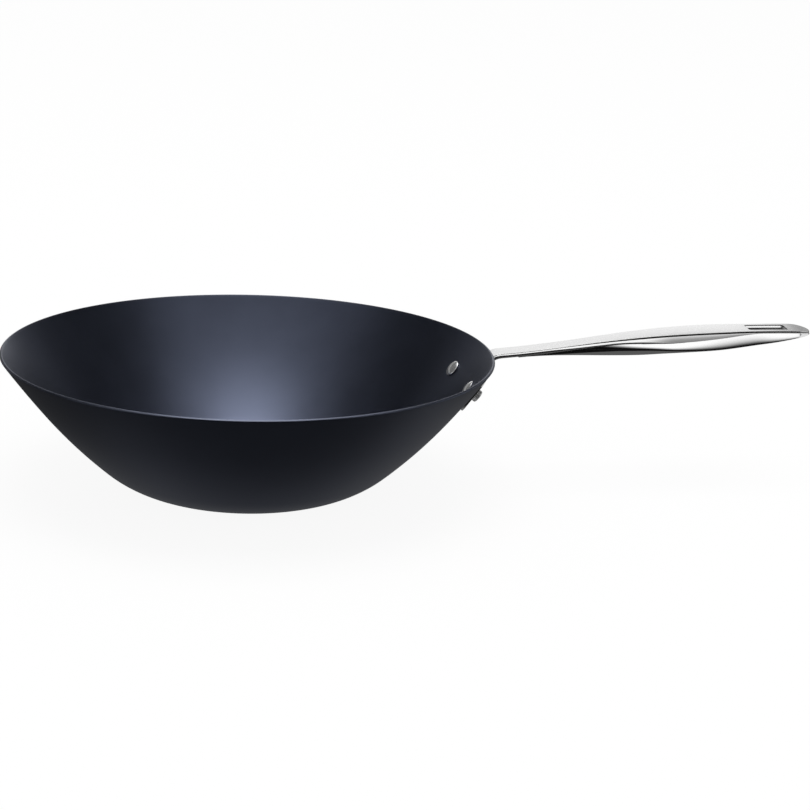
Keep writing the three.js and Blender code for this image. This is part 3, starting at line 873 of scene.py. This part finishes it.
def makeBelly():
    radius = float(topHalf(strap["reach"]))
    tipFrom = strap["reach"] - strap["tipBack"] - radius
    stations = [(x, float(topHalf(x))) for x in np.arange(belly["from"], tipFrom, belly["stationStep"])]
    for angle in np.radians(np.linspace(0, strap["tipArc"], 28)):
        stations.append((tipFrom + radius * math.sin(angle), radius * math.cos(angle)))
    rings = [bellyRing(x, half) for x, half in stations]
    count = len(rings[0])
    points = []
    for (x, half), ring in zip(stations, rings):
        points.append(bent(np.full(count, alongAt(x)), ring[:, 0], ring[:, 1]))
    faces = [tuple(range(count))[::-1], tuple(range((len(rings) - 1) * count, len(rings) * count))]
    for row in range(len(rings) - 1):
        for i in range(count):
            a, b = row * count + i, row * count + (i + 1) % count
            faces.append((a, b, b + count, a + count))
    piece = meshPiece("handleBelly", np.vstack(points), faces, metals["belly"], belly["sharp"])
    cutter = slotCutter()
    cut = piece.modifiers.new("slot", "BOOLEAN")
    cut.operation, cut.object, cut.solver = "DIFFERENCE", cutter, "EXACT"
    shown = piece.evaluated_get(bpy.context.evaluated_depsgraph_get())
    mesh = bpy.data.meshes.new_from_object(shown)
    piece.modifiers.clear()
    piece.data = mesh
    bpy.data.objects.remove(cutter)
    # points that fall together after the cut are joined
    joined = bmesh.new()
    joined.from_mesh(mesh)
    bmesh.ops.remove_doubles(joined, verts=joined.verts, dist=belly["joinWithin"])
    bmesh.ops.dissolve_degenerate(joined, dist=belly["joinWithin"], edges=joined.edges)
    joined.to_mesh(mesh)
    joined.free()
    mesh.set_sharp_from_angle(angle=belly["sharp"])
    return piece


bellyPiece = makeBelly()
print("belly made", len(bellyPiece.data.polygons))

for piece, slot, nodes in (
    (bowlPiece, "black_steel", ["wok_bowl"]),
    (rivetPiece, "rivet_steel", ["rivet_front", "rivet_rear"]),
    (strapPiece, "satin_steel", ["handle_strap"]),
    (bellyPiece, "bright_steel", ["handle_belly"]),
):
    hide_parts(*nodes)
    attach(piece, "root")
print("pieces placed")


# studio: a white ground, and cloths that only reflections see

studio = {
    "heading": math.radians(7.33),  # the camera's, from +Y towards +X
    "clothHeight": 0.09,  # middle of the tent and of the card over the handle
    "worldLevel": 0.65,  # on the object, where rays that see the ground get 1
}
white = colour(1, 1, 1)


def stagePiece(name, points, faces):
    mesh = bpy.data.meshes.new(name)
    mesh.from_pydata(points, [], faces)
    material = bpy.data.materials.new(name + "Look")
    material.use_nodes = True
    mesh.materials.append(material)
    tree = material.node_tree
    tree.nodes.remove(tree.nodes["Principled BSDF"])
    return placed(name, mesh), Wire(tree), tree.nodes["Material Output"].inputs["Surface"]


def onlyMirrored(piece):
    for name in ("camera", "diffuse", "transmission", "shadow", "volume_scatter"):
        setattr(piece, "visible_" + name, False)


def glow(start, tone, strength=1.0):
    return start.node("ShaderNodeEmission", None, {"Color": tone, "Strength": strength})


def mixed(start, share, first, second):
    return start.node("ShaderNodeMixShader", None, {0: share, 1: first, 2: second})


def seenRays(start):
    # 1 for camera, mirror and glass rays, which all see the white ground
    camera, mirror, glass = (start.node("ShaderNodeLightPath", out="Is " + name + " Ray")
                             for name in ("Camera", "Glossy", "Transmission"))
    return (camera + mirror + glass).limit(0.0, 1.0)


floor = {"half": 14.0, "height": -0.0003, "shadowShare": 0.08}


def makeFloor():
    # clear from below
    half, height = floor["half"], floor["height"]
    corners = [(-half, -half, height), (half, -half, height), (half, half, height), (-half, half, height)]
    piece, start, surface = stagePiece("floor", corners, [(0, 1, 2, 3)])
    matte = start.node("ShaderNodeBsdfDiffuse", None, {"Color": white})
    top = mixed(start, seenRays(start) * (1 - floor["shadowShare"]), matte, glow(start, white))
    below = start.node("ShaderNodeNewGeometry", out="Backfacing")
    mixed(start, below, top, start.node("ShaderNodeBsdfTransparent")).feed(surface)


# the tent's patches lie by climb, the angle up from the backdrop's foot, over the top and down to the
# camera's side, and by across, the angle to the right
tent = {
    "radius": 4.0,
    "columns": 64,
    "rows": 32,
    "backFoot": (-0.06, 0.0),
    "backTop": angles(23, 33),
    "backSide": angles(11, 22),
    "backSideFade": 0.8,
    "backTurn": math.radians(4),
    "backLevel": 1.0,
    "coreFrom": angles(52, 60),
    "coreTo": angles(89, 112),
    "coreSide": angles(3, 20),
    "coreTurn": math.radians(-0.5),
    "coreLevel": 3.8,
    "fillTo": angles(96, 144),
    "fillSide": angles(14, 60),
    "fillNarrow": 0.6,
    "fillTurn": math.radians(-10),
    "fillTurnStops": angles(85, 115),
    "fillLevel": 0.54,
    "lowTo": angles(125, 160),
    "lowFade": 0.9,
    "lowLevel": 0.04,
    "wingFrom": angles(120, 140),
    "wingSide": angles(44, 54),
    "wingLevel": 0.7,
}


def makeTent():
    radius, columns, rows = tent["radius"], tent["columns"], tent["rows"]
    turns = np.linspace(0, 2 * math.pi, columns, endpoint=False)
    points, faces = [], []
    for rise in np.linspace(-math.pi / 2, math.pi / 2, rows + 1):
        wide, height = radius * math.cos(rise), radius * math.sin(rise)
        points += [(wide * math.cos(turn), wide * math.sin(turn), height) for turn in turns]
    for row in range(rows):
        for i in range(columns):
            a, b = row * columns + i, row * columns + (i + 1) % columns
            faces.append((a, b, b + columns, a + columns))
    piece, start, surface = stagePiece("tent", points, faces)
    piece.location = (0.0, 0.0, studio["clothHeight"])
    place = start.node("ShaderNodeTexCoord", out="Object")
    x, y, z = (place.axis(name) / radius for name in "XYZ")
    heading = studio["heading"]
    back = x * math.sin(heading) + y * math.cos(heading)
    side = x * math.cos(heading) - y * math.sin(heading)
    climb = z.calc("ARCTAN2", back)
    across = side.limit(-1.0, 1.0).calc("ARCSINE")
    # a backdrop behind the wok
    backWide = (across - tent["backTurn"]).absolute()
    backdrop = (1.0 - climb.step(*tent["backTop"])) * climb.step(*tent["backFoot"])
    backdrop = backdrop * (1.0 - tent["backSideFade"] * backWide.step(*tent["backSide"]))
    # a bright core overhead in a wide, soft fill
    above = climb.step(*tent["coreFrom"])
    coreWide = (across - tent["coreTurn"]).absolute()
    core = above * (1.0 - climb.step(*tent["coreTo"])) * (1.0 - coreWide.step(*tent["coreSide"]))
    high = climb.step(*tent["fillTurnStops"])
    fillWide = (across - tent["fillTurn"] * high).absolute() * (1.0 + tent["fillNarrow"] * (1.0 - high))
    fill = above * (1.0 - climb.step(*tent["fillTo"])) * (1.0 - fillWide.step(*tent["fillSide"]))
    # dark cloth for the rest, with pale wings beside the camera
    rest = 1.0 - tent["lowFade"] * climb.step(*tent["lowTo"])
    wing = climb.step(*tent["wingFrom"]) * across.absolute().step(*tent["wingSide"])
    level = backdrop * tent["backLevel"] + core * tent["coreLevel"] + fill * tent["fillLevel"]
    level = level + rest * tent["lowLevel"] + wing * tent["wingLevel"]
    glow(start, level).feed(surface)
    onlyMirrored(piece)


card = {
    "radius": 0.4,
    "arc": (60, 170),  # degrees
    "ends": (0.15, 0.62),
    "from": angles(62, 76),
    "to": angles(116, 160),
    "left": (0.16, 0.22),
    "right": (0.5, 0.61),
    "louvres": (0.42, 0.55),
    "level": 1.25,
}


def makeCard():
    # a curved cloth over the handle
    radius, turns = card["radius"], np.radians(np.linspace(*card["arc"], 56))
    points = [(x, radius * math.cos(t), radius * math.sin(t)) for t in turns for x in card["ends"]]
    faces = [(2 * i, 2 * i + 1, 2 * i + 3, 2 * i + 2) for i in range(len(turns) - 1)]
    piece, start, surface = stagePiece("card", points, faces)
    piece.location = (0.0, 0.0, studio["clothHeight"])
    place = start.node("ShaderNodeTexCoord", out="Object")
    along, climb = place.axis("X"), place.axis("Z").calc("ARCTAN2", place.axis("Y"))
    lit = climb.step(*card["from"]) * (1.0 - climb.step(*card["to"]))
    lit = lit * along.step(*card["left"]) * (1.0 - along.step(*card["right"]))
    # louvres keep its light off the bowl
    lean = start.node("ShaderNodeNewGeometry", out="Incoming").axis("X").absolute()
    lit = lit * (1.0 - lean.step(*card["louvres"]))
    clear = start.node("ShaderNodeBsdfTransparent")
    mixed(start, lit, clear, glow(start, white, card["level"])).feed(surface)
    onlyMirrored(piece)


endCard = {"place": (0.43, -0.05, 0.14), "half": (0.09, 0.07), "level": 0.9}


def makeEndCard():
    # an upright card past the handle's tip
    wide, tall = endCard["half"]
    corners = [(0, -wide, -tall), (0, wide, -tall), (0, wide, tall), (0, -wide, tall)]
    piece, start, surface = stagePiece("endCard", corners, [(0, 1, 2, 3)])
    piece.location = endCard["place"]
    glow(start, white, endCard["level"]).feed(surface)
    onlyMirrored(piece)


tipCard = {"ends": (0.4, 0.8), "back": 0.37, "rise": (0.02, 0.38), "fade": (0.43, 0.51), "level": 0.38}


def makeTipCard():
    # a grey cloth behind the handle's tip
    (left, right), (low, high), back = tipCard["ends"], tipCard["rise"], tipCard["back"]
    corners = [(left, back, low), (right, back, low), (right, back, high), (left, back, high)]
    piece, start, surface = stagePiece("tipCard", corners, [(0, 1, 2, 3)])
    shown = start.node("ShaderNodeTexCoord", out="Object").axis("X").step(*tipCard["fade"])
    clear = start.node("ShaderNodeBsdfTransparent")
    mixed(start, shown, clear, glow(start, shaded((1, 1, 1), tipCard["level"]))).feed(surface)
    onlyMirrored(piece)


flag = {
    "radius": 4.1,
    "height": -0.0001,
    "sides": 64,
    "far": 0.004,
    "middle": 0.06,
    "near": 0.11,
    "middleEdge": (-0.3, -0.16),
    "nearEdge": (-0.13, -0.06),
    "handleShift": 0.08,
    "handleStops": (0.15, 0.22),
    "left": (-0.17, -0.05),
}


def makeFlag():
    # a dark cloth on the ground
    radius, height = flag["radius"], flag["height"]
    turns = np.linspace(0, 2 * math.pi, flag["sides"], endpoint=False)
    points = [(radius * math.cos(t), radius * math.sin(t), height) for t in turns]
    piece, start, surface = stagePiece("flag", points, [tuple(range(len(points)))])
    place = start.node("ShaderNodeTexCoord", out="Object")
    x, y = place.axis("X"), place.axis("Y")
    handle = x.step(*flag["handleStops"])
    near = (y + flag["handleShift"] * handle).step(*flag["nearEdge"]) * x.step(*flag["left"])
    middle = y.step(*flag["middleEdge"]) * (1.0 - handle)
    glow(start, near * flag["near"] + middle * flag["middle"] + flag["far"]).feed(surface)
    onlyMirrored(piece)


def makeWorld():
    world = bpy.data.worlds.new("studioWorld")
    world.use_nodes = True
    inputs = world.node_tree.nodes["Background"].inputs
    inputs["Color"].default_value = white
    level = studio["worldLevel"]
    (seenRays(Wire(world.node_tree)) * (1 - level) + level).feed(inputs["Strength"])
    bpy.context.scene.world = world


lamp = {"size": 2.2, "energy": 40.0, "place": (0.1, 0.0, 3.0)}


def makeLamp():
    light = bpy.data.lights.new("softBox", "AREA")
    light.shape, light.size, light.size_y = "RECTANGLE", lamp["size"], lamp["size"]
    light.energy = lamp["energy"]
    box = placed("softBox", light)
    box.location = lamp["place"]
    box.visible_glossy = False


# fitted to the rim and the handle in the photo
view = {
    "lens": 115.77,
    "sensor": 36.0,
    "distance": 1.6,
    "rise": 0.25683,
    "swing": 0.06028,
    "tilt": 0.01941,
    "roll": 0.01913,
}


def makeCamera():
    lens = bpy.data.cameras.new("camera")
    lens.lens, lens.sensor_width = view["lens"], view["sensor"]
    camera = placed("camera", lens)
    rise, distance = view["rise"], view["distance"]
    around = Matrix.Rotation(-studio["heading"], 4, "Z")
    place = around @ Vector((0, -distance * math.cos(rise), distance * math.sin(rise)))
    place = place + Vector((0, 0, bowl["rimHeight"]))
    turn = around @ Matrix.Rotation(math.pi / 2 - rise, 4, "X") @ Matrix.Rotation(-view["swing"], 4, "Y")
    turn = turn @ Matrix.Rotation(-view["tilt"], 4, "X") @ Matrix.Rotation(view["roll"], 4, "Z")
    camera.matrix_world = Matrix.Translation(place) @ turn
    bpy.context.scene.camera = camera


makeFloor()
makeTent()
makeCard()
makeEndCard()
makeTipCard()
makeFlag()
makeWorld()
makeLamp()
makeCamera()
bpy.context.scene.view_settings.view_transform = "Standard"
print("studio made")
